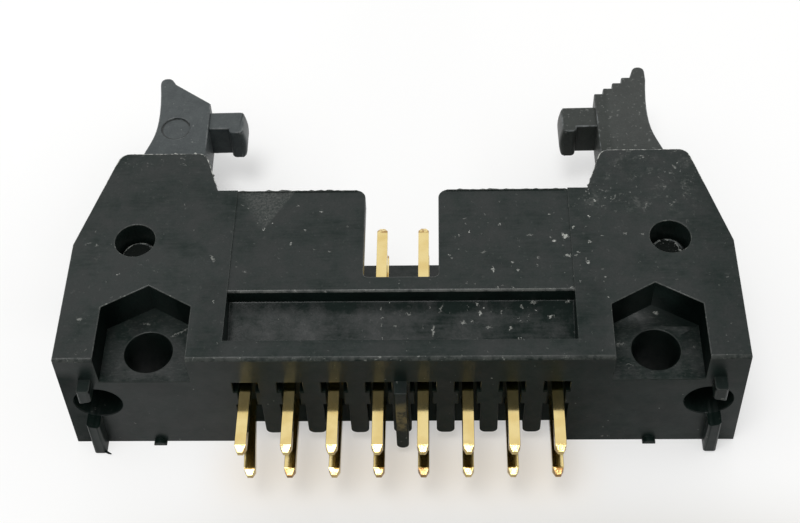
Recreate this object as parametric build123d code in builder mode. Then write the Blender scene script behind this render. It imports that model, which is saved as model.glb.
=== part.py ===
# Straight box header for a ribbon cable socket, with two ejector latches, lying on a broad side.
# X runs along the rows of contacts, Y is the mating direction, away from the board, and Z is up.
# A height is measured along Y from the face that meets the board, and a level along Z from the table.
import os
from math import atan2, cos, degrees, radians, sin

from build123d import *

# Contacts, in millimetres
pitch = 2.54
columns = 8
wire = 0.64
tail_length = 4.2
tail_point_length = 0.4
contact_height = 11.68
point_length = 0.3
point_side = 0.3
bent_tail_shift = 0.28

# Socket space and its two long walls
socket_margin = 3.71
socket_width = 6.4
wall = 1.2
floor_height = 5.1
wall_height = 12.4
wall_relief = 0.1
relief_margin = 1.1
key_width = 4.4
key_floor = 5.8
key_round = 0.6
key_inner_round = 0.3

# End blocks, each rising into a pair of walls that hold a latch
end_length = 7.13
end_slope = 0.26
knee_height = 7.33
shoulder_height = 15.45
shoulder_reach = 4.88
shoulder_round = 0.7
tower_overhang = 0.42
tower_foot_overhang = 1.4
tower_round = 0.7

# Panel sunk into the upper face, and the step under the lower one
panel_bottom = 1.3
panel_top = 4.77
panel_depth = 1.1
panel_low_depth = 2.1
under_recess = 0.95

# Channels in the board face, one for each pair of contacts
channel_width = 1.48
channel_depth = 0.8
channel_top = 6.42
neck_width = 1.02
neck_bottom = 4.1
neck_top = 5.4
tooth_round = 0.38

# Ribs and pips that stand on the board face
standoff = 0.88
rib_width = 0.75
rib_reach = 5.4
rib_top = 6.85
rib_splay = 0.2
rib_round = 0.2
middle_rib_width = 0.72
middle_rib_bottom = 0.62
middle_rib_top = 6.55
pip_reach = 2.06
pip_radius = 0.4
pip_height = 0.3

# Screw holes across the ends, with nut pockets, and screw holes in the board face
clamp_reach = 2.0
clamp_height = 2.05
clamp_radius = 1.4
nut_flats = 5.2
nut_height = 2.2
nut_floor = 6.57
board_hole_reach = 5.05
board_hole_radius = 1.4
board_hole_depth = 4.1

# Latch pivots and the slots that the latches turn in
pivot_reach = 3.2
pivot_height = 8.55
pivot_radius = 1.2
pivot_play = 0.05
slot_play = 0.1
sill_height = 7.6
opening_angle = 32
stop_margin = 1

# Latches
lever_thickness = 3.0
lever_gap = 0.15
heel_radius = 2.65
flush_gap = 0.1
toe_reach = 1.4
toe_height = 6.6
toe_root_height = 7.3
toe_heel_length = 2.15
toe_play = 0.2
trunnion_span = 6.0
trunnion_bevel = 0.25
neck_depth = 4.055
neck_height = 18.0
throat_depth = 3.49
throat_height = 19.75
waist_depth = 3.34
waist_height = 21.2
grip_depth = 3.53
grip_height = 24.3
tip_width = 0.72
tip_round = 0.4
step_count = 4
step_run = 0.645
step_rise = 0.485
riser_run = 0.1
right_slant_height = 23.06
right_tip_height = 25.46
left_slant_height = 22.44
left_tip_height = 24.86
left_tread_lift = 0.85
latch_lean = 0.85
hook_length = 2.42
hook_thickness = 2.45
hook_under = 20.4
right_hook_over = 22.1
left_hook_over = 21.86
hook_round = 0.28
hook_bow = 0.18
lip_width = 1.1
lip_drop = 0.4
lip_round = 0.3
mark_reach = 2.13
mark_height = 20.25
mark_radius = 0.94
mark_depth = 0.1

# Places that follow from the sizes
row_half = (columns - 1) * pitch / 2
socket_half = row_half + socket_margin
thickness = socket_width + 2 * wall
middle = thickness / 2
end_x = socket_half + end_length
knee_x = end_x - end_slope
shoulder_x = socket_half + shoulder_reach
clamp_x = socket_half + clamp_reach
board_hole_x = socket_half + board_hole_reach
rib_x = socket_half + rib_reach
pip_x = socket_half + pip_reach
pivot_x = socket_half + pivot_reach
comb_half = row_half + channel_width / 2
relief_half = row_half + relief_margin
key_half = key_width / 2
lever_x = socket_half + lever_gap
slot_width = lever_thickness + 2 * slot_play
heel_space = heel_radius + slot_play
board_y = (tail_length - max(right_tip_height, left_tip_height)) / 2

os.makedirs("parts", exist_ok=True)


def plan(level):
    # A plane parallel to the table, with its own origin on the board face.
    return Plane(origin=(0, board_y, level), x_dir=(1, 0, 0), z_dir=(0, 0, 1))


def board(height=0):
    # A plane parallel to the board and facing it, with X along the rows and Y up from the table.
    return Plane(origin=(0, board_y + height, 0), x_dir=(1, 0, 0), z_dir=(0, -1, 0))


def around_pivot(radius, angle):
    # A point at a radius and an angle round the right-hand pivot.
    return (pivot_x + radius * cos(radians(angle)), pivot_height + radius * sin(radians(angle)))


with BuildPart() as housing:
    # Outline of the whole moulding, from the middle out to one end and mirrored
    with BuildSketch(plan(0)) as outline:
        with BuildLine():
            Polyline(
                (0, 0),
                (end_x, 0),
                (end_x, knee_height),
                (shoulder_x, shoulder_height),
                (socket_half - tower_overhang, shoulder_height),
                (socket_half - tower_foot_overhang, wall_height),
                (0, wall_height),
            )
            mirror(about=Plane.YZ)
        make_face()
        tower_corners = outline.vertices().group_by(Axis.Y)[-1].sort_by_distance((0, shoulder_height))
        fillet(tower_corners[:2], tower_round)
        tower_corners = outline.vertices().sort_by_distance((0, shoulder_height))
        outer_corners = [
            corner for corner in tower_corners if abs(abs(corner.X) - shoulder_x) < flush_gap
        ]
        fillet(outer_corners, shoulder_round)
    extrude(amount=thickness)

    # The end faces lean in towards the upper face
    with BuildSketch(board()):
        with BuildLine():
            Polyline((end_x, 0), (knee_x, thickness), (end_x + end_length, thickness), close=True)
        make_face()
        mirror(about=Plane.YZ)
    extrude(amount=-shoulder_height, mode=Mode.SUBTRACT)

    # Socket space, open at the top
    with BuildSketch(plan(wall)):
        with Locations((0, floor_height)):
            Rectangle(2 * socket_half, shoulder_height, align=(Align.CENTER, Align.MIN))
    extrude(amount=socket_width, mode=Mode.SUBTRACT)

    # Slots for the latches: a round seat for the heel, a way in for the toe and a way out past the sill
    with BuildSketch(plan(middle - slot_width / 2)):
        with Locations((pivot_x, pivot_height)):
            Circle(heel_space)
        with Locations((pivot_x, floor_height)):
            Rectangle(pivot_x - row_half, shoulder_height, align=(Align.MAX, Align.MIN))
        with Locations((pivot_x, sill_height)):
            Rectangle(end_length, shoulder_height, align=(Align.MIN, Align.MIN))
        mirror(about=Plane.YZ)
    extrude(amount=slot_width, mode=Mode.SUBTRACT)

    # Pivot holes and clamping screw holes, through both broad faces
    with BuildSketch(plan(0)):
        with Locations((-pivot_x, pivot_height), (pivot_x, pivot_height)):
            Circle(pivot_radius)
        with Locations((-clamp_x, clamp_height), (clamp_x, clamp_height)):
            Circle(clamp_radius)
    extrude(amount=thickness, mode=Mode.SUBTRACT)

    # Six-sided nut pockets, open towards the board
    with BuildSketch(plan(nut_floor)):
        with Locations((-clamp_x, nut_height), (clamp_x, nut_height)):
            RegularPolygon(nut_flats / 2, 6, major_radius=False, rotation=30)
            Rectangle(nut_flats, nut_height, align=(Align.CENTER, Align.MAX))
    extrude(amount=thickness - nut_floor, mode=Mode.SUBTRACT)

    # Screw holes that enter from the board
    with BuildSketch(board()):
        with Locations((-board_hole_x, middle), (board_hole_x, middle)):
            Circle(board_hole_radius)
    extrude(amount=-board_hole_depth, mode=Mode.SUBTRACT)

    # Sunk panel with a step at its upper side, getting deeper towards the board
    with BuildSketch(Plane(origin=(0, board_y, 0), x_dir=(0, 1, 0), z_dir=(1, 0, 0))):
        with BuildLine():
            Polyline(
                (panel_bottom, thickness),
                (panel_top, thickness),
                (panel_top, thickness - panel_depth),
                (panel_bottom, thickness - panel_low_depth),
                close=True,
            )
        make_face()
    extrude(amount=relief_half, both=True, mode=Mode.SUBTRACT)

    # Both long walls lie a little below the end blocks
    for level in (0, thickness - wall_relief):
        with BuildSketch(plan(level)):
            with Locations((0, panel_top)):
                Rectangle(2 * relief_half, wall_height - panel_top, align=(Align.CENTER, Align.MIN))
        extrude(amount=wall_relief, mode=Mode.SUBTRACT)

    # Key notch in the upper wall
    with BuildSketch(plan(thickness - wall)) as key:
        with Locations((0, key_floor)):
            Rectangle(key_width, shoulder_height, align=(Align.CENTER, Align.MIN))
        fillet(key.vertices().group_by(Axis.Y)[0], key_inner_round)
    extrude(amount=wall, mode=Mode.SUBTRACT)
    for side in (-1, 1):
        corner = (side * key_half, board_y + wall_height, thickness - wall / 2)
        fillet(housing.edges().filter_by(Axis.Z).sort_by_distance(corner)[:1], key_round)

    # Step under the lower face, and the comb of channels that opens into it
    with BuildSketch(plan(0)):
        Rectangle(2 * comb_half, panel_top, align=(Align.CENTER, Align.MIN))
    extrude(amount=under_recess, mode=Mode.SUBTRACT)
    with BuildSketch(board()) as comb:
        Rectangle(2 * comb_half, under_recess, align=(Align.CENTER, Align.MIN))
        with GridLocations(pitch, 0, columns, 1):
            Rectangle(channel_width, neck_bottom, align=(Align.CENTER, Align.MIN))
            Rectangle(neck_width, neck_top, align=(Align.CENTER, Align.MIN))
            with Locations((0, neck_top)):
                Rectangle(channel_width, channel_top - neck_top, align=(Align.CENTER, Align.MIN))
        fillet(comb.vertices().filter_by_position(Axis.Y, under_recess / 2, neck_bottom / 2), tooth_round)
    extrude(amount=-channel_depth, mode=Mode.SUBTRACT)

    # Square holes that hold the contacts
    with BuildSketch(board()):
        with Locations((0, middle)):
            with GridLocations(pitch, pitch, columns, 2):
                Rectangle(wire, wire)
    extrude(amount=-floor_height, mode=Mode.SUBTRACT)

    # End ribs that seat on the board, as steep as the end faces and broken by the screw holes
    with BuildSketch(board()):
        with BuildLine():
            Polyline(
                (rib_x + rib_splay - rib_width / 2, 0),
                (rib_x + rib_splay + rib_width / 2, 0),
                (rib_x + rib_width / 2, rib_top),
                (rib_x - rib_width / 2, rib_top),
                close=True,
            )
        make_face()
        mirror(about=Plane.YZ)
        with Locations((-board_hole_x, middle), (board_hole_x, middle)):
            Circle(board_hole_radius, mode=Mode.SUBTRACT)
    extrude(amount=standoff)
    rib_face = housing.faces().group_by(Axis.Y)[0]
    rib_sides = [edge for edge in rib_face.edges().filter_by(GeomType.LINE) if edge.length > rib_width]
    fillet(rib_sides + rib_face.edges().group_by(Axis.Z)[0], rib_round)

    # Middle rib with a round lower end
    with BuildSketch(board(channel_depth)):
        rib_end = middle_rib_bottom + middle_rib_width / 2
        with Locations((0, rib_end)):
            Circle(middle_rib_width / 2)
            Rectangle(middle_rib_width, middle_rib_top - rib_end, align=(Align.CENTER, Align.MIN))
    extrude(amount=channel_depth + standoff)

    # Half-round pips at the lower edge of the board face
    with BuildSketch(board()):
        with Locations((-pip_x, 0), (pip_x, 0)):
            Circle(pip_radius)
            Rectangle(2 * pip_radius, pip_radius, align=(Align.CENTER, Align.MAX), mode=Mode.SUBTRACT)
    extrude(amount=pip_height)


def make_latch(side, slant_height, tip_height, tread_lift, hook_over, mark_level, lean):
    # side is 1 at the right and -1 at the left. Shapes are given for the right and turned over by it.
    # lean is the angle at which the latch rests, counted round the pivot as seen from above.
    def at(x, height):
        return (side * x, height)

    sill_angle = degrees(atan2(pivot_height - sill_height, end_x - pivot_x))
    shelf_angle = opening_angle + stop_margin - sill_angle
    face_run = shoulder_height - knee_height
    face_lean = (end_x - shoulder_x) / face_run
    # The back of the lever runs flush with the sloping edge of the end block, up to the shoulder.
    shelf_height = pivot_height + heel_radius * sin(radians(shelf_angle))
    shelf_x = end_x - flush_gap - face_lean * (shelf_height - knee_height)
    back_x = shoulder_x - flush_gap
    steps = []
    for step in range(step_count):
        tread_x = lever_x + step * step_run
        tread_height = slant_height + step * step_rise
        steps.append(at(tread_x, tread_height))
        steps.append(at(tread_x + step_run - riser_run, tread_height + tread_lift * step_rise))
    grip_x = lever_x + grip_depth

    with BuildPart() as latch:
        with BuildSketch(plan(middle - lever_thickness / 2)) as lever:
            with BuildLine():
                Polyline(
                    *reversed(steps),
                    at(lever_x, toe_root_height),
                    at(socket_half - toe_reach + lever_gap, toe_height),
                    at(socket_half - toe_reach + lever_gap, floor_height + toe_play),
                    at(pivot_x - toe_heel_length, floor_height + toe_play),
                    at(*around_pivot(heel_radius, -90)),
                )
                ThreePointArc(
                    at(*around_pivot(heel_radius, -90)),
                    at(*around_pivot(heel_radius, (shelf_angle - 90) / 2)),
                    at(*around_pivot(heel_radius, shelf_angle)),
                )
                Polyline(
                    at(*around_pivot(heel_radius, shelf_angle)),
                    at(shelf_x, shelf_height + slot_play),
                    at(back_x, shoulder_height),
                )
                Spline(
                    at(back_x, shoulder_height),
                    at(lever_x + neck_depth, neck_height),
                    at(lever_x + throat_depth, throat_height),
                    at(lever_x + waist_depth, waist_height),
                    at(grip_x, grip_height),
                )
                Polyline(
                    at(grip_x, grip_height),
                    at(grip_x, tip_height),
                    at(grip_x - tip_width, tip_height),
                    steps[-1],
                )
            make_face()
            fillet(lever.vertices().group_by(Axis.Y)[-1], tip_round)
        extrude(amount=lever_thickness)

        # Hook that closes over the socket, with a rounded lip and an end bowed from side to side
        with BuildSketch(plan(middle - hook_thickness / 2)) as hook:
            with Locations(at(lever_x - hook_length, hook_under)):
                reach = Align.MIN if side > 0 else Align.MAX
                Rectangle(hook_length + step_run, hook_over - hook_under, align=(reach, Align.MIN))
                Rectangle(lip_width, 2 * lip_drop, align=(reach, Align.CENTER))
            lip_corners = hook.vertices().sort_by_distance(at(lever_x, hook_under - lip_drop))
            fillet([corner for corner in lip_corners if corner.Y < hook_under - lip_drop / 2][:1], lip_round)
        extrude(amount=hook_thickness)
        hook_low = middle - hook_thickness / 2
        hook_high = middle + hook_thickness / 2
        end_x_inside = lever_x - hook_length
        with BuildSketch(board(hook_over)):
            with BuildLine():
                ThreePointArc(
                    at(end_x_inside + hook_bow, hook_low),
                    at(end_x_inside, middle),
                    at(end_x_inside + hook_bow, hook_high),
                )
                Polyline(
                    at(end_x_inside + hook_bow, hook_high),
                    at(end_x_inside - hook_bow, hook_high),
                    at(end_x_inside - hook_bow, hook_low),
                    at(end_x_inside + hook_bow, hook_low),
                )
            make_face()
        extrude(amount=hook_over - hook_under + lip_drop, mode=Mode.SUBTRACT)
        for end_height, end_round in ((hook_over, hook_round), (hook_under - lip_drop, lip_round)):
            end_point = (side * end_x_inside, board_y + end_height, middle)
            fillet(latch.edges().filter_by(GeomType.CIRCLE).sort_by_distance(end_point)[:1], end_round)

        # Trunnions that turn in the pivot holes, with bevelled ends
        with BuildSketch(plan(middle - trunnion_span / 2)):
            with Locations(at(pivot_x, pivot_height)):
                Circle(pivot_radius - pivot_play)
        extrude(amount=trunnion_span)
        trunnion_ends = latch.faces().group_by(Axis.Z)
        chamfer(trunnion_ends[0].edges() + trunnion_ends[-1].edges(), trunnion_bevel)

        # Round mark of the mould's ejector, on the one face that was against it
        with BuildSketch(plan(mark_level)):
            with Locations(at(lever_x + mark_reach, mark_height)):
                Circle(mark_radius)
        extrude(amount=mark_depth, mode=Mode.SUBTRACT)
    pivot_axis = Axis((side * pivot_x, board_y + pivot_height, 0), (0, 0, 1))
    return latch.part.rotate(pivot_axis, lean)


def make_contact(x, level, tail_shift=0):
    # A square wire with a pyramid point at both ends. The shift is how far the tail's end is bent along X.
    stations = (
        (contact_height, point_side, 0),
        (contact_height - point_length, wire, 0),
        (0, wire, 0),
        (tail_point_length - tail_length, wire, tail_shift * (1 - tail_point_length / tail_length)),
        (-tail_length, point_side, tail_shift),
    )
    with BuildPart() as contact:
        for height, width, shift in stations:
            with BuildSketch(board(height)):
                with Locations((x + shift, level)):
                    Rectangle(width, width)
        loft(ruled=True)
    return contact


# The two latches are one moulding turned over, so the ejector mark is up at the left and down at the right.
# The left one rests a little open and the right one leans in as much.
mark_down = middle - lever_thickness / 2
mark_up = middle + lever_thickness / 2 - mark_depth
latch_right = make_latch(
    1, right_slant_height, right_tip_height, 0, right_hook_over, mark_down, latch_lean
)
latch_left = make_latch(
    -1, left_slant_height, left_tip_height, left_tread_lift, left_hook_over, mark_up, latch_lean
)

housing.part.label = "housing"
export_step(housing.part, "parts/housing.step")
latch_left.label = "latch_left"
export_step(latch_left, "parts/latch_left.step")
latch_right.label = "latch_right"
export_step(latch_right, "parts/latch_right.step")

for row, level in (("upper", middle + pitch / 2), ("lower", middle - pitch / 2)):
    for column in range(columns):
        # The first tail of the lower row is bent a little towards the middle.
        shift = bent_tail_shift if (row, column) == ("lower", 0) else 0
        contact = make_contact(column * pitch - row_half, level, shift)
        name = f"contact_{row}_{column + 1}"
        contact.part.label = name
        export_step(contact.part, f"parts/{name}.step")
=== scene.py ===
from math import cos, radians, sin

import bmesh
import bpy
import numpy as np
from mathutils import Matrix, Vector


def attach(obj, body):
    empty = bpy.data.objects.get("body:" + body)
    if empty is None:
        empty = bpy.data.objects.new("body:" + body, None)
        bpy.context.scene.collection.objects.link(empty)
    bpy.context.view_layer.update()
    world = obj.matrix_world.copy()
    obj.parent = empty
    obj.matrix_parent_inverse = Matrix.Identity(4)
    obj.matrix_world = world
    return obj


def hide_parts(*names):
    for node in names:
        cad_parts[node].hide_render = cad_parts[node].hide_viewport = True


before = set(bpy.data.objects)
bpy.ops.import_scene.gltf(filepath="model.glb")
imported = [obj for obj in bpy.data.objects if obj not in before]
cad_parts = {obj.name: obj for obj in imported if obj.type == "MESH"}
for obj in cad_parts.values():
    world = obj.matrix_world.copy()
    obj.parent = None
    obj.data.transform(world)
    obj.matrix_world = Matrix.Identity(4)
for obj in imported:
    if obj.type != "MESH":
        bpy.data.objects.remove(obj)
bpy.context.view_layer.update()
mm = 0.001
boardY = -10.63  # the face that meets the board, in mm; heights below are measured from it
print("frame loaded,", len(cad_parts), "pieces")


# camera

cameraView = {
    "target": (-0.234, -0.103, 4.0),  # mm
    "distance": 91.134,
    "elevation": 52.285,
    "azimuth": -2.86,
    "roll": -2.692,
    "lens": 65.69,
}


def placeCamera(view):
    up, turn, roll = (radians(view[name]) for name in ("elevation", "azimuth", "roll"))
    ahead = Vector((sin(turn) * cos(up), cos(turn) * cos(up), -sin(up)))
    level = Vector((cos(turn), -sin(turn), 0))
    upright = level.cross(ahead)
    right = cos(roll) * level + sin(roll) * upright
    top = -sin(roll) * level + cos(roll) * upright
    data = bpy.data.cameras.new("camera")
    data.sensor_width = 36
    data.lens = view["lens"]
    data.clip_start = 0.001
    data.clip_end = 10
    camera = bpy.data.objects.new("camera", data)
    turned = Matrix((right, top, -ahead)).transposed().to_4x4()
    camera.matrix_world = Matrix.Translation((Vector(view["target"]) - view["distance"] * ahead) * mm) @ turned
    bpy.context.scene.collection.objects.link(camera)
    bpy.context.scene.camera = camera


placeCamera(cameraView)
print("camera placed")


# shader tools

class Wire:
    # one socket of a material, with the sums that a Math node does
    def __init__(self, finish, plug):
        self.finish = finish
        self.plug = plug

    def sum(self, operation, *values, clamp=False):
        inputs = dict(enumerate(values))
        return self.finish.node("Math", {"operation": operation, "use_clamp": clamp}, inputs)

    def __add__(self, other):
        return self.sum("ADD", self, other)

    def __radd__(self, other):
        return self.sum("ADD", other, self)

    def __sub__(self, other):
        return self.sum("SUBTRACT", self, other)

    def __rsub__(self, other):
        return self.sum("SUBTRACT", other, self)

    def __mul__(self, other):
        return self.sum("MULTIPLY", self, other)

    def __rmul__(self, other):
        return self.sum("MULTIPLY", other, self)

    def __truediv__(self, other):
        return self.sum("DIVIDE", self, other)

    def __neg__(self):
        return self.sum("MULTIPLY", self, -1)

    def __pow__(self, other):
        return self.sum("POWER", self, other)

    def __abs__(self):
        return self.sum("ABSOLUTE", self)

    def clamped(self):
        return self.sum("ADD", self, 0, clamp=True)

    def atLeast(self, other):
        return self.sum("MAXIMUM", self, other)

    def atMost(self, other):
        return self.sum("MINIMUM", self, other)

    def rise(self, low, high):
        # 0 below low and 1 above high, with a smooth way between
        settings = {"interpolation_type": "SMOOTHSTEP"}
        return self.finish.node("MapRange", settings, {0: self, 1: low, 2: high, 3: 0, 4: 1})

    def fall(self, low, high):
        return 1 - self.rise(low, high)

    def band(self, low, high, soft):
        return self.rise(low - soft, low + soft) * self.fall(high - soft, high + soft)


class Finish:
    # a material that is built up node by node
    def __init__(self, name, world=None):
        self.material = world or bpy.data.materials.new(name)
        self.material.use_nodes = True
        self.tree = self.material.node_tree
        self.tree.nodes.clear()

    def node(self, kind, settings=None, inputs=None, output=0):
        made = self.tree.nodes.new("ShaderNode" + kind)
        for name, value in (settings or {}).items():
            setattr(made, name, value)
        for name, value in (inputs or {}).items():
            if isinstance(value, Wire):
                self.tree.links.new(value.plug, made.inputs[name])
            else:
                made.inputs[name].default_value = value
        return Wire(self, made.outputs[output]) if made.outputs else made

    def place(self):
        # the point on the piece, in mm, as one vector and as x, y, z
        point = self.node("TexCoord", output="Object")
        point = self.node("VectorMath", {"operation": "SCALE"}, {0: point, "Scale": 1 / mm})
        return point, [self.node("SeparateXYZ", None, {0: point}, output=i) for i in range(3)]

    def stretched(self, point, scale):
        return self.node("VectorMath", {"operation": "MULTIPLY"}, {0: point, 1: scale})

    def noise(self, point, scale, detail=2.0, rough=0.5):
        return self.node("TexNoise", None, {"Vector": point, "Scale": scale, "Detail": detail, "Roughness": rough})

    def specks(self, point, scale, share, size):
        # round specks in a share of random cells over x and y; size is their largest radius in mm
        kind = {"voronoi_dimensions": "2D"}
        cell = {"Vector": point, "Scale": scale}
        distance = self.node("TexVoronoi", kind, cell, output="Distance") / scale
        colour = self.node("TexVoronoi", kind, cell, output="Color")
        chance = self.node("SeparateColor", None, {0: colour}, output=0)
        radius = size * (0.35 + 0.65 * self.node("SeparateColor", None, {0: colour}, output=1))
        return (1.5 - 1.5 * distance / radius).clamped() * chance.rise(1 - share, 1 - share + 0.001)

    def marks(self, point, spots):
        # soft ovals over x and y; each has its middle, half length and half width in mm, turn and strength
        total, turned = 0, {}
        for x, y, length, width, turn, strength in spots:
            c, s = cos(radians(turn)), sin(radians(turn))
            if turn not in turned:
                dot = {"operation": "DOT_PRODUCT"}
                parts = [self.node("VectorMath", dot, {0: point, 1: row}, output=1) for row in ((c, s, 0), (-s, c, 0))]
                turned[turn] = self.node("CombineXYZ", None, dict(enumerate(parts)))
            shrink = (1 / length, 1 / width, 0)
            shift = (-(x * c + y * s) / length, (x * s - y * c) / width, 0)
            oval = {0: turned[turn], 1: shrink, 2: shift}
            inside = self.node("VectorMath", {"operation": "MULTIPLY_ADD"}, oval)
            radius = self.node("VectorMath", {"operation": "LENGTH"}, {0: inside}, output=1)
            fade = self.node("MapRange", None, {0: radius, 1: 0.45, 2: 1.0, 3: strength, 4: 0.0})
            total = fade.atLeast(total)
        return total

    def blend(self, share, first, second):
        return self.node("Mix", {"data_type": "RGBA"}, {0: share, 6: first, 7: second}, output=2)

    def facing(self):
        # how far a face looks up, and how far it looks at the board
        normal = self.node("NewGeometry", output="Normal")
        ny, nz = (self.node("SeparateXYZ", None, {0: normal}, output=i) for i in (1, 2))
        return nz.rise(0.5, 0.8), (-ny).rise(0.5, 0.8)

    def bump(self, height, depth):
        return self.node("Bump", None, {"Strength": 1.0, "Distance": depth * mm, "Height": height})

    def shader(self, **inputs):
        return self.node("BsdfPrincipled", None, {name.replace("_", " "): value for name, value in inputs.items()})

    def shared(self, share, first, second):
        return self.node("MixShader", None, {0: share, 1: first, 2: second})

    def surface(self, shader):
        self.node("OutputMaterial", None, {"Surface": shader})
        return self.material


# black moulded plastic of the housing

housingLook = {
    "dark": (0.0028, 0.0062, 0.0051, 1),
    "light": (0.0066, 0.0128, 0.0108, 1),
    # light tone of worn edges, also used as a painted highlight on edges and a painted sheen on the left wall
    "wearAndSheen": (0.085, 0.090, 0.083, 1),
    "dust": (0.50, 0.51, 0.47, 1),
    "ribGlow": (0.16, 0.13, 0.055, 1),
    "roughness": 0.40,
    "boardFaceRoughness": 0.34,
    "dull": {"all": 0.21, "panel": 0.40, "pocketPatches": 0.42},  # how much of the shine is lost
    "sheenPatch": (-9.98, -6.50, 1.62, 0.59),  # rough triangle painted lighter as a sheen: its top corners' x, their y, and its sides' lean
    "grain": 0.005,  # mm deep
    "scuffs": [  # x, y, half length, half width in mm, turn in degrees, strength
        (-16.49, -4.61, 0.1, 0.07, 0, 0.7), (-18.57, -2.3, 0.32, 0.04, 15, 0.3),
        (-18.26, -7.84, 0.18, 0.11, 0, 0.3), (-17.64, -9.92, 0.07, 0.06, 0, 0.3),
        (-11.04, -3.47, 0.34, 0.08, -60, 0.3), (-10.68, -6.6, 0.09, 0.09, 0, 0.5),
        (-12.38, -1.33, 0.08, 0.07, 0, 0.3), (-18.01, -2.41, 0.09, 0.05, -75, 0.3),
        (10.84, -3.95, 0.14, 0.08, -15, 0.9), (11.06, -2.48, 0.09, 0.07, 0, 0.7),
        (9.65, -1.94, 0.21, 0.1, -30, 0.7), (10.19, -1.36, 0.12, 0.06, 90, 0.5),
        (13.21, -1.85, 0.13, 0.07, 0, 0.4), (14.2, -1.94, 0.07, 0.07, 0, 0.4),
        (9.8, -3.4, 0.2, 0.06, 0, 0.5), (10.36, -3.2, 0.1, 0.06, 0, 0.4),
        (16.91, -2.01, 0.08, 0.06, 0, 0.3), (11.56, 0.69, 0.09, 0.09, 0, 1),
        (11.17, -0.56, 0.1, 0.08, 0, 0.95), (10.21, -1.29, 0.13, 0.07, 90, 0.8),
        (9.7, -1.85, 0.26, 0.09, -30, 1), (9.02, -2.28, 0.13, 0.08, -15, 0.8),
        (7.6, -1.81, 0.24, 0.04, 0, 0.35), (5.85, -1.03, 0.11, 0.07, 15, 0.6),
        (4.04, -1.52, 0.07, 0.06, 0, 0.8), (3.78, -0.52, 0.08, 0.07, 0, 0.3),
        (3.17, -1.91, 0.1, 0.08, 0, 0.3), (4.82, -3.11, 0.16, 0.05, -15, 0.3),
        (5.37, -4.38, 0.25, 0.07, 90, 0.9), (6.5, -3.83, 0.11, 0.07, 0, 0.5),
        (6.8, -4.42, 0.09, 0.08, 0, 0.5), (8.01, -3.55, 0.07, 0.07, 0, 0.35),
        (9.77, -3.31, 0.17, 0.05, 0, 0.7), (10.25, -3.41, 0.12, 0.06, 15, 0.4),
        (10.84, -3.87, 0.17, 0.09, -30, 0.9), (11.07, -2.4, 0.1, 0.06, 0, 0.6),
        (11.09, 1.42, 0.07, 0.06, 0, 0.5), (-7.71, -0.75, 0.08, 0.06, 0, 0.8),
        (-8.2, -1.2, 0.08, 0.07, 0, 0.7), (-9.25, 0.38, 0.07, 0.07, 0, 0.5),
        (-9.63, 0.67, 0.11, 0.05, -30, 0.3), (-6.24, 0.59, 0.08, 0.08, 0, 0.35),
        (-4.79, 0.09, 0.11, 0.09, 0, 0.55), (-5.31, 0.03, 0.06, 0.05, 0, 0.3),
        (-5.74, -1.31, 0.11, 0.07, 90, 0.45), (-6.52, -2.34, 0.12, 0.09, 30, 0.6),
        (-5.12, -2.77, 0.09, 0.07, 0, 0.3), (-4.23, -2.96, 0.09, 0.09, 0, 0.3),
        (-8.52, -0.71, 0.05, 0.05, 0, 0.4), (-0.6, -5.9, 0.07, 0.06, 0, 0.7),
        (2.33, -6.31, 0.3, 0.08, 75, 0.4), (1.88, -7.61, 0.4, 0.07, 90, 0.5),
        (4.45, -6.1, 0.11, 0.11, 0, 0.45), (4.57, -6.61, 0.16, 0.11, 90, 0.9),
        (4.11, -7.1, 0.11, 0.09, 0, 0.5), (3.6, -7.14, 0.18, 0.1, 0, 0.45),
        (5.79, -6.55, 0.08, 0.08, 0, 0.4), (6.34, -7.48, 0.11, 0.09, 15, 0.5),
        (8.63, -6.81, 0.13, 0.11, 0, 0.8), (9.72, -5.84, 0.25, 0.11, 45, 0.6),
        (7.01, -6.24, 0.14, 0.09, -30, 0.35), (7.66, -5.99, 0.25, 0.09, 0, 0.35),
        (5.07, -7.43, 0.22, 0.08, 0, 0.3), (0.46, -6.62, 0.24, 0.08, -15, 0.3),
        (-0.3, -7.34, 0.11, 0.08, 0, 0.3), (-1.08, -6.84, 0.1, 0.08, 0, 0.45),
        (-12.91, -7.21, 0.64, 0.05, 30, 0.5), (-14.9, -6.59, 0.28, 0.05, -15, 0.3),
        (14.81, -6, 0.15, 0.15, 0, 0.8), (12.61, -8.2, 0.35, 0.05, 0, 0.35),
        (13.01, -9.59, 0.29, 0.05, 0, 0.3),
    ],
}


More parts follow.
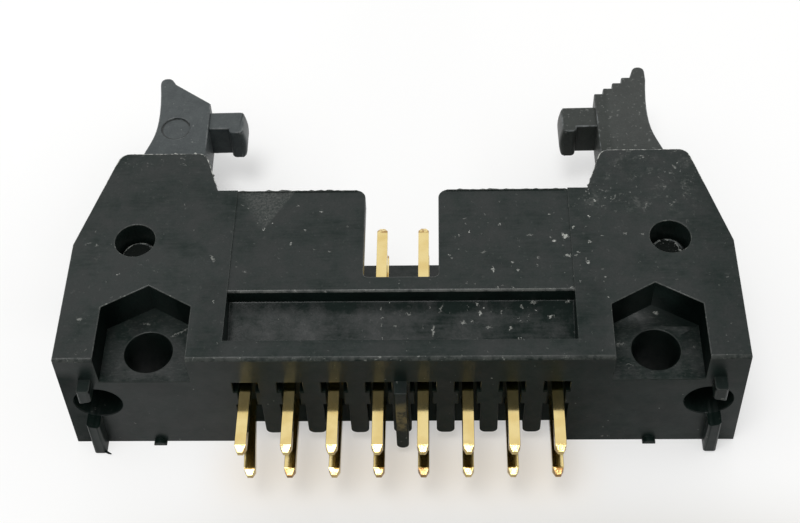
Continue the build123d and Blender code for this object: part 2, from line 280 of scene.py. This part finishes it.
def housingPlastic(name, look, edge=False):
    finish = Finish(name)
    point, (x, y, z) = finish.place()
    upward, ahead = finish.facing()
    wide = abs(x)
    dulls = look["dull"]
    clouds = finish.noise(point, 0.35, 3, 0.6)
    smudges = finish.noise(point, 1.1, 4, 0.65)
    grain = finish.noise(point, 7.0, 4, 0.7)
    flow = finish.noise(finish.stretched(point, (0.7, 6.0, 1.0)), 1.0, 4, 0.7)
    streaked = (flow - 0.5) * clouds.rise(0.40, 0.62)
    colour = finish.blend((clouds * 0.5 + smudges * 0.5).rise(0.36, 0.62), look["dark"], look["light"])

    # places that shine less: the board face away from its left end, the channels, the panel and the pockets
    boardFace = y.fall(boardY + 0.02, boardY + 0.06) * ahead
    channel = wide.fall(9.66, 9.72) * z.fall(6.43, 6.48) * y.band(boardY + 0.08, boardY + 5.2, 0.03)
    panel = y.rise(-9.9, -8.6) * y.fall(-5.95, -5.85) * wide.fall(9.9, 10.0)
    pocketWall = wide.rise(11.5, 11.7) * y.fall(-5.4, -5.3) * z.band(6.6, 8.72, 0.03) * (1 - upward) * (1 - ahead)
    rib = y.fall(boardY - 0.03, boardY - 0.01) * z.fall(5.2, 5.4) * upward
    floor = z.band(6.4, 6.75, 0.05) * wide.rise(11.6, 11.8) * y.fall(-6.0, -5.8) * upward
    faceDull = 0.30 + 0.34 * x.rise(-11, -6) + 0.13 * x.rise(-2, 5)
    faceDull = faceDull - 0.27 * x.rise(9, 17) + 0.55 * x.fall(-18.8, -17.8) * z.fall(6.8, 8.0)
    faceDull = faceDull + (smudges - 0.5) * 0.6
    panelDull = dulls["panel"] + 0.35 * y.rise(-6.9, -6.1)
    patches = finish.noise(point, 0.55, 3, 0.6).rise(0.44, 0.60)
    rough = dulls["all"] + (clouds - 0.5) * 0.9 + (smudges - 0.5) * 0.8 + streaked * 0.7 + (grain - 0.5) * 0.5
    rough = rough + x.rise(15.5, 18.5) * 0.18 * upward + wide.band(9.9, 11.6, 0.3) * y.fall(-5.3, -4.9) * 0.13
    rough = rough + (clouds - 0.5).atLeast(0) * 0.8 - y.band(-7.5, -2.0, 1.5) * x.fall(-13, -9) * 0.13
    dull = rough * (1 - boardFace) * (1 - channel) + boardFace * faceDull + channel + pocketWall + rib * 0.8
    dull = dull + panel * panelDull * upward + floor * patches * dulls["pocketPatches"]

    # painted shade: the pocket walls are blended towards black
    colour = finish.blend(pocketWall * 0.6, colour, (0, 0, 0, 1))
    if edge:
        step = y.band(-6.0, -5.7, 0.03) * wide.fall(10.0, 10.1)
        seam = wide.band(9.9, 10.1, 0.03) * y.rise(-5.9, -5.7)
        ridge = y.fall(boardY + 0.3, boardY + 0.4)
        tower = y.rise(1.9, 2.1) * wide.band(9.9, 19.0, 0.1)
        # edges painted in the light tone: real wear, with a painted highlight added most on the panel step's edge
        amount = 0.26 + step * 0.55 + seam * 0.08 + ridge * 0.04
        dull = dull + ridge * 0.28
        wearAndHighlight = finish.noise(point, 1.6, 3, 0.6).rise(0.20, 0.60) * amount
        flecks = finish.noise(point, 3.2, 4, 0.75).rise(0.46, 0.56) * (tower * 0.75 + 0.03)
        flecks = flecks + finish.noise(point, 2.2, 4, 0.75).rise(0.60, 0.66) * 0.25
        colour = finish.blend((wearAndHighlight * z.rise(6.4, 6.6)).clamped(), colour, look["wearAndSheen"])
        colour = finish.blend((flecks * z.rise(8.3, 8.5)).clamped(), colour, look["dust"])
        height = grain
    else:
        # a rougher patch on the left wall painted lighter as a sheen, then specks of dust and short scratches, most of
        # them on the right wall
        left, right, top, lean = look["sheenPatch"]
        inset = (top - y) * lean
        sheenPatch = (x - left - inset).rise(-0.5, 0.7) * (right - inset - x).rise(-0.06, 0.12)
        sheenPatch = sheenPatch * y.fall(1.7, 1.75) * y.rise(-1.5, -1.0)
        colour = finish.blend(sheenPatch * grain.rise(0.36, 0.66) * 0.60 * upward, colour, look["wearAndSheen"])
        shake = finish.node("TexNoise", None, {"Vector": point, "Scale": 7.0, "Detail": 3.0}, output="Color")
        shaken = finish.node("VectorMath", {"operation": "MULTIPLY_ADD"}, {0: shake, 1: (0.5, 0.5, 0), 2: point})
        shaken = finish.node("VectorMath", {"operation": "ADD"}, {0: shaken, 1: (-0.25, -0.25, 0)})
        tower = x.rise(9.8, 10.8) * x.fall(16.8, 18.3) * y.rise(-0.8, 0.6)
        crowd = 0.30 + 0.70 * x.band(-0.5, 11.5, 2.5) + 0.8 * y.rise(3.2, 4.6) + tower * 0.3
        dust = finish.specks(shaken, 1.0, 0.22, 0.07) * crowd * 0.8
        dust = dust.atLeast(finish.specks(shaken, 2.3, 0.20, 0.05) * crowd * 0.5)
        dust = dust * (0.15 + finish.noise(point, 0.5).rise(0.40, 0.60))
        grit = finish.noise(point, 3.0, 3, 0.7).rise(0.60, 0.74)
        grit = grit * (0.04 + 0.30 * tower + 0.25 * y.band(3.7, 4.7, 0.2))
        grit = grit.atLeast(finish.noise(point, 0.9, 6, 0.8).rise(0.52, 0.66) * tower * 0.08)
        dust = dust.atLeast(grit).atLeast(finish.marks(shaken, look["scuffs"]))
        streaks = finish.noise(finish.stretched(point, (2.0, 5.0, 1.0)), 1.5, 5, 0.8).rise(0.46, 0.74) * floor
        frayed = dust * grain.rise(0.34, 0.54) * upward + streaks * 0.06
        colour = finish.blend(frayed.clamped() * 0.95, colour, look["dust"])
        # gold light caught by the middle rib
        glow = wide.fall(0.42, 0.50) * y.fall(boardY - 0.12, boardY - 0.06) * z.band(2.6, 5.4, 0.6)
        colour = finish.blend(glow * smudges.rise(0.42, 0.60) * 0.8, colour, look["ribGlow"])
        specks = finish.noise(point, 3.0, 2, 0.5).rise(0.71, 0.77) * boardFace
        colour = finish.blend(specks * 0.30, colour, look["dust"])
        height = grain * 0.8 + streaked * 0.6 + smudges * 1.2
    roughness = look["roughness"] + (clouds - 0.5) * 0.16 + streaked * 0.12
    roughness = roughness * (1 - boardFace) + boardFace * look["boardFaceRoughness"]
    normal = finish.bump(height, look["grain"])
    common = {"Base_Color": colour, "Roughness": roughness.clamped(), "Normal": normal, "IOR": 1.5}
    glossy = finish.shader(Specular_IOR_Level=0.5, **common)
    matt = finish.shader(Specular_IOR_Level=0.04, **common)
    return finish.surface(finish.shared(dull.clamped(), glossy, matt))


# lighter plastic of the two latches

latchLook = {
    "latch_left": ((0.031, 0.039, 0.041, 1), (0.051, 0.061, 0.062, 1)),
    "latch_right": ((0.018, 0.022, 0.019, 1), (0.031, 0.036, 0.032, 1)),
    # dark tone painted as shade: between the walls and along the mould mark's rim
    "paintedShade": (0.008, 0.010, 0.009, 1),
    "pivot": (15.8, -2.08),  # mm
    "mark": (-15.054, 9.6325, 0.94),  # middle and radius of the mould mark
    "dull": 0.7,
    "hookDull": {"latch_left": 0.06, "latch_right": 0.30},
    "ringRagged": {"latch_left": 0.5, "latch_right": 2.2},
    "grit": {"latch_left": 0.15, "latch_right": 0.5},
    # light tone of worn edges, also used as a painted highlight on the latch edges
    "wearAndSheen": (0.11, 0.12, 0.12, 1),
    "dust": (0.24, 0.25, 0.235, 1),
    "roughness": 0.46,
    "grain": 0.005,
}


def latchPlastic(name, look, side, edge=0.0):
    finish = Finish(name)
    point, (x, y, z) = finish.place()
    upward, ahead = finish.facing()
    dark, light = look[side]
    clouds = finish.noise(point, 0.5, 3, 0.6)
    grain = finish.noise(point, 8.0, 4, 0.65)
    paintedShade = y.fall(3.0, 4.6)
    smudges = finish.noise(point, 1.6, 4, 0.7)
    colour = finish.blend((clouds * 0.3 + smudges * 0.4 + grain * 0.3).rise(0.40, 0.60), dark, light)
    colour = finish.blend(paintedShade, colour, look["paintedShade"])  # painted shade where it sits between the walls
    markX, markY, markRadius = look["mark"]
    markAcross, markAlong = x - markX, y - markY
    # painted shade along the rim of the mould mark's shallow recess
    rim = (markAcross * markAcross + markAlong * markAlong) ** 0.5 - markRadius
    rim = rim.band(-0.10, 0.03, 0.03) * z.band(5.7, 5.88, 0.02) * smudges.rise(0.36, 0.50)
    colour = finish.blend(rim * 0.8, colour, look["paintedShade"])
    if edge:
        # edges painted lighter: real wear and a painted highlight
        wearAndHighlight = (finish.noise(point, 1.8, 3, 0.6).rise(0.40, 0.66) * edge).clamped()
        colour = finish.blend(wearAndHighlight, colour, look["wearAndSheen"])
    # a broken pale ring near the rim of each trunnion, seen in the pivot hole, is a painted highlight in the dust
    # colour
    across, along = abs(x) - look["pivot"][0], y - look["pivot"][1]
    radius = (across * across + along * along) ** 0.5
    disc = radius.fall(1.3, 1.4)
    ragged = radius + (smudges - 0.5) * look["ringRagged"][side]
    ring = ragged.band(0.88, 1.02, 0.03) * disc * z.rise(7.2, 7.25) * smudges.rise(0.40, 0.52)
    grit = finish.noise(point, 4.2, 2, 0.6).rise(0.62, 0.70) * look["grit"][side]
    dust = finish.specks(point, 1.3, 0.14, 0.07).atLeast(grit) * upward * 0.6
    colour = finish.blend(dust.atLeast(ring), colour, look["dust"])
    low = y.fall(5.5, 10.0) * 0.34
    hook = abs(x).fall(13.2, 13.6) * upward * look["hookDull"][side]
    flat = ahead.atLeast(paintedShade * 0.6).atLeast(disc) * look["dull"] + hook + low + (clouds - 0.5) * 0.6
    flat = (flat + (smudges - 0.5) * 0.4).clamped()
    roughness = look["roughness"] + (clouds - 0.5) * 0.14
    common = {"Base_Color": colour, "Roughness": roughness, "Normal": finish.bump(grain, look["grain"]), "IOR": 1.5}
    glossy = finish.shader(Specular_IOR_Level=0.5, **common)
    matt = finish.shader(Specular_IOR_Level=0.04, **common)
    return finish.surface(finish.shared(flat, glossy, matt))


# gold-plated contacts

contactLook = {
    "gold": (0.88, 0.71, 0.33, 1),
    "deep": (0.80, 0.61, 0.25, 1),
    "bare": (0.36, 0.19, 0.07, 1),  # brass where the wire was cut
    "tailTip": -14.45,  # mm along y, where the tails' points begin
    "matingTip": 0.55,
    "roughness": 0.10,
    "tipRoughness": 0.24,
    "draw": 0.0008,
    "tipDents": 0.03,
}


def contactMetal(name, look):
    finish = Finish(name)
    point, (x, y, z) = finish.place()
    drawn = finish.noise(finish.stretched(point, (9.0, 0.35, 9.0)), 1.0, 3, 0.55)
    clouds = finish.noise(point, 0.8, 2, 0.5)
    dents = finish.noise(point, 2.6, 3, 0.6)
    tail = y.fall(look["tailTip"] - 0.08, look["tailTip"] + 0.05)
    mating = y.rise(look["matingTip"], look["matingTip"] + 0.1)
    colour = finish.blend(clouds.rise(0.35, 0.7), look["gold"], look["deep"])
    # the lower row's points are darker than the upper row's, and each point has its own bare spots
    bare = tail * dents.rise(0.50, 0.60) * 0.5 + tail * z.fall(3.9, 4.1) * finish.noise(point, 0.33, 1).rise(0.47, 0.53) * 0.75
    bare = bare + mating * dents.rise(0.42, 0.55) * 0.8
    colour = finish.blend(bare.clamped(), colour, look["bare"])
    tip = tail.atLeast(mating)
    rough = look["roughness"] + (drawn - 0.5) * 0.10 + tip * (look["tipRoughness"] - look["roughness"])
    normal = finish.bump(drawn * look["draw"] + dents * tip * look["tipDents"], 1.0)
    return finish.surface(finish.shader(Base_Color=colour, Metallic=1.0, Roughness=rough.clamped(), Normal=normal))


housingPlain = housingPlastic("housing_plastic", housingLook)
housingEdge = housingPlastic("housing_plastic_edge", housingLook, edge=True)
contactGold = contactMetal("contact_metal", contactLook)
print("materials made")


# dressed copies of the solids, with rounded edges

edgeRounds = {
    "housing": 0.20,  # mm, on the ridge above the board face
    "latch": 0.08,
    "contact": 0.018,
    "share": {"step": 0.60, "tower": 0.45, "seam": 0.08, "other": 0.25},  # shares of that width on the housing's other edges
    "sharpAngle": 25,
}


def edgeShare(edge):
    # the upper long edges are worn rounder than the rest
    share = edgeRounds["share"]
    ys = [corner.co.y / mm for corner in edge.verts]
    if min(corner.co.z / mm for corner in edge.verts) < 8.6:
        return share["other"]
    if max(ys) < boardY + 0.01:
        return 1.0
    if max(abs(y - boardY - 4.77) for y in ys) < 0.01:
        return share["step"]
    if max(abs(abs(corner.co.x / mm) - 9.99) for corner in edge.verts) < 0.03:
        return share["seam"]
    return share["tower"] if min(ys) > 1.8 else share["other"]


def dressed(node, body, width, materials):
    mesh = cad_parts[node].data.copy()
    shape = bmesh.new()
    shape.from_mesh(mesh)
    bmesh.ops.remove_doubles(shape, verts=shape.verts, dist=0.001 * mm)
    bmesh.ops.dissolve_limit(
        shape, angle_limit=radians(0.4), use_dissolve_boundaries=False, verts=shape.verts, edges=shape.edges
    )
    weight = shape.edges.layers.float.new("bevel_weight_edge")
    sharp = radians(edgeRounds["sharpAngle"])
    for edge in shape.edges:  # only outward edges are worn round
        if len(edge.link_faces) == 2 and edge.calc_face_angle_signed() > sharp:
            edge[weight] = edgeShare(edge) if node == "housing" else 1.0
    shape.to_mesh(mesh)
    shape.free()
    mesh.shade_smooth()
    mesh.set_sharp_from_angle(angle=sharp)
    mesh.materials.clear()
    for material in materials:
        mesh.materials.append(material)
    piece = bpy.data.objects.new(node + "_dressed", mesh)
    bpy.context.scene.collection.objects.link(piece)
    rounded = piece.modifiers.new("edges", "BEVEL")
    rounded.limit_method = "WEIGHT"
    rounded.width = width * mm
    rounded.segments = 2
    rounded.use_clamp_overlap = False
    rounded.loop_slide = False
    rounded.material = len(materials) - 1
    even = piece.modifiers.new("even faces", "WEIGHTED_NORMAL")  # flat faces stay flat beside the rounded edges
    even.keep_sharp = True
    even.weight = 100
    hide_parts(node)
    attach(piece, body)
    return piece


dressed("housing", "header", edgeRounds["housing"], [housingPlain, housingEdge])
for side in ("left", "right"):
    name = "latch_" + side
    plain = latchPlastic(name + "_plastic", latchLook, name)
    wearAndSheen = latchPlastic(name + "_plastic_edge", latchLook, name, 1.0)
    dressed(name, side + "_latch", edgeRounds["latch"], [plain, wearAndSheen])
for row in ("upper", "lower"):
    for column in range(1, 9):
        dressed(f"contact_{row}_{column}", "header", edgeRounds["contact"], [contactGold])
print("solids dressed")


# thin ragged flash left by the mould

flashLook = {
    "embedded": 0.10,  # mm
    "thickness": 0.03,
    "step": 0.06,
    "strips": {  # path over x and y in mm, with the outside on its left; level, widest, share that is ragged, seed
        "flash_left_tower": ([(-17.1, 4.80), (-12.7, 4.80), (-12.1, 4.42), (-11.2, 1.75)], 8.73, 0.19, 1.0, 3),
        "flash_right_tower": ([(11.2, 1.75), (12.1, 4.42), (12.7, 4.80), (16.8, 4.80)], 8.73, 0.16, 1.0, 8),
        "flash_left_wall": ([(-9.9, 1.75), (-2.7, 1.75)], 8.75, 0.10, 1.0, 5),
        "flash_right_wall": ([(2.7, 1.75), (9.9, 1.75)], 8.75, 0.08, 1.0, 6),
        "flash_rib": ([(-17.55, -11.70), (-17.98, -11.42), (-18.05, -10.95)], 0.25, 0.09, 0.0, 1),
    },
}


def makeFlash(name, look):
    corners, level, widest, ragged, seed = look["strips"][name]
    corners = np.array(corners)
    reach = np.append(0, np.cumsum(np.hypot(*np.diff(corners, axis=0).T)))
    along = np.linspace(0, reach[-1], round(reach[-1] / look["step"]))
    spine = np.column_stack([np.interp(along, reach, corners[:, i]) for i in (0, 1)])
    ahead = np.gradient(spine, axis=0)
    outward = np.column_stack([-ahead[:, 1], ahead[:, 0]]) / np.hypot(*ahead.T)[:, None]
    # width = widest x (1 - ragged + ragged x the cube of a random height every 0.2 mm), ending in a point
    knots = np.arange(0, reach[-1] + 0.2, 0.2)
    heights = np.interp(along, knots, np.random.default_rng(seed).random(len(knots)) ** 3)
    taper = np.minimum(1, 4 * np.minimum(along, reach[-1] - along) + 0.1)
    width = widest * (1 - ragged + ragged * heights) * taper
    half = look["thickness"] / 2
    rings = []
    for offset, z in ((-look["embedded"], half), (width - 0.05, half), (width - 0.05, -half), (-look["embedded"], -half)):
        edge = spine + outward * np.broadcast_to(offset, along.shape)[:, None]
        rings.append(np.column_stack([edge, np.full(len(along), level + z)]))
    points = np.stack(rings, axis=1).reshape(-1, 3) * mm
    faces = [(0, 1, 2, 3), tuple(4 * len(along) - 4 + i for i in (3, 2, 1, 0))]
    for i in range(0, 4 * len(along) - 4, 4):
        faces += [(i + j, i + 4 + j, i + 4 + (j + 1) % 4, i + (j + 1) % 4) for j in range(4)]
    mesh = bpy.data.meshes.new(name)
    mesh.from_pydata(points.tolist(), [], faces)
    mesh.materials.append(housingEdge)
    strip = bpy.data.objects.new(name, mesh)
    bpy.context.scene.collection.objects.link(strip)
    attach(strip, "header")


for name in flashLook["strips"]:
    makeFlash(name, flashLook)
print("flash made")


# floor and light

studio = {
    "floor": (0.93, 0.93, 0.925, 1),
    # grey of a soft shadow painted on the floor in front of the object
    "frontShadowTone": (0.70, 0.69, 0.66, 1),
    # painted shade and gold light reflected from the pins, on the floor under the comb
    "combShadeAndGlow": (0.90, 0.85, 0.78, 1),
    "unseenFront": 0.62,  # the floor in front, as the board face sees it: painted shade, seen only in reflections and bounced light
    "floorSize": 0.8,  # m
    "seenWhite": 0.45,  # share of plain white in what the camera sees of the floor
    "domeBack": 0.93,
    "domeFront": 0.62,
    "lamp": 0.34,  # share of the light that comes from the lamp
    "lampPlace": (-0.06, -0.10, 0.47),
    "lampSize": 0.17,
}


def makeFloor(look):
    finish = Finish("floor_paper")
    point, (x, y, z) = finish.place()
    # painted soft shadow on the floor in front of the object
    front = y.fall(-21, -12) * y.rise(-42, -23) * (x.rise(-25, -3) * x.fall(14, 34) + x.band(8, 30, 6) * 0.3)
    # painted shade and gold light reflected from the pins, under the comb
    comb = y.band(-14.5, -10.5, 2.0) * abs(x).fall(8, 13)
    colour = finish.blend(front.clamped(), look["floor"], look["frontShadowTone"])
    colour = finish.blend(comb, colour, look["combShadeAndGlow"])
    camera = finish.node("LightPath", output="Is Camera Ray")
    # painted shade on the floor in front, for every ray but the camera's
    shaded = 1 - (1 - camera) * y.fall(-20, -8) * (1 - look["unseenFront"])
    seenColour = finish.node("VectorMath", {"operation": "SCALE"}, {0: colour, "Scale": shaded})
    paper = finish.shader(Base_Color=seenColour, Roughness=0.9, Specular_IOR_Level=0.1)
    white = finish.node("Emission", None, {"Color": colour, "Strength": 1.06})
    # painted light and shade on the floor: more white under the left end and around the notch, less behind the left
    # hook
    seen = look["seenWhite"] + 0.3 * x.fall(-14, -6) * y.fall(-4, 0) + 0.3 * abs(x).fall(3, 6) * y.rise(-3, 0)
    seen = camera * (seen - 0.17 * y.rise(2, 6) * x.fall(-10, -6))
    half = look["floorSize"] / 2
    mesh = bpy.data.meshes.new("floor")
    corners = [(-half, -half, 0), (half, -half, 0), (half, half, 0), (-half, half, 0)]
    mesh.from_pydata(corners, [], [(0, 1, 2, 3)])
    mesh.materials.append(finish.surface(finish.shared(seen, paper, white)))
    floor = bpy.data.objects.new("floor", mesh)
    bpy.context.scene.collection.objects.link(floor)


def makeLight(look):
    world = bpy.data.worlds.new("room")
    room = Finish("room", world)
    ahead = room.node("SeparateXYZ", None, {0: room.node("TexCoord", output="Generated")}, output=1)
    front, back = look["domeFront"], look["domeBack"]
    colour = room.blend(ahead.rise(-0.6, 0.45), (front, front, front, 1), (back, back, back, 1))
    dome = room.node("Background", None, {"Color": colour})
    seen = room.node("Background", None, {"Color": (1, 1, 1, 1)})
    room.node("OutputWorld", None, {"Surface": room.shared(room.node("LightPath", output="Is Camera Ray"), dome, seen)})
    bpy.context.scene.world = world

    place = Vector(look["lampPlace"])
    data = bpy.data.lights.new("softbox", "AREA")
    data.shape = "SQUARE"
    data.size = look["lampSize"]
    # watts that light a white face at the middle of the floor to the lamp's share
    data.energy = look["lamp"] * 3.1416 * 3.1416 * place.length_squared / (place.z / place.length)
    lamp = bpy.data.objects.new("softbox", data)
    lamp.location = place
    lamp.rotation_mode = "QUATERNION"
    lamp.rotation_quaternion = (-place).to_track_quat("-Z", "Y")
    bpy.context.scene.collection.objects.link(lamp)
    bpy.context.scene.view_settings.view_transform = "Standard"


makeFloor(studio)
makeLight(studio)
print("floor and light made")
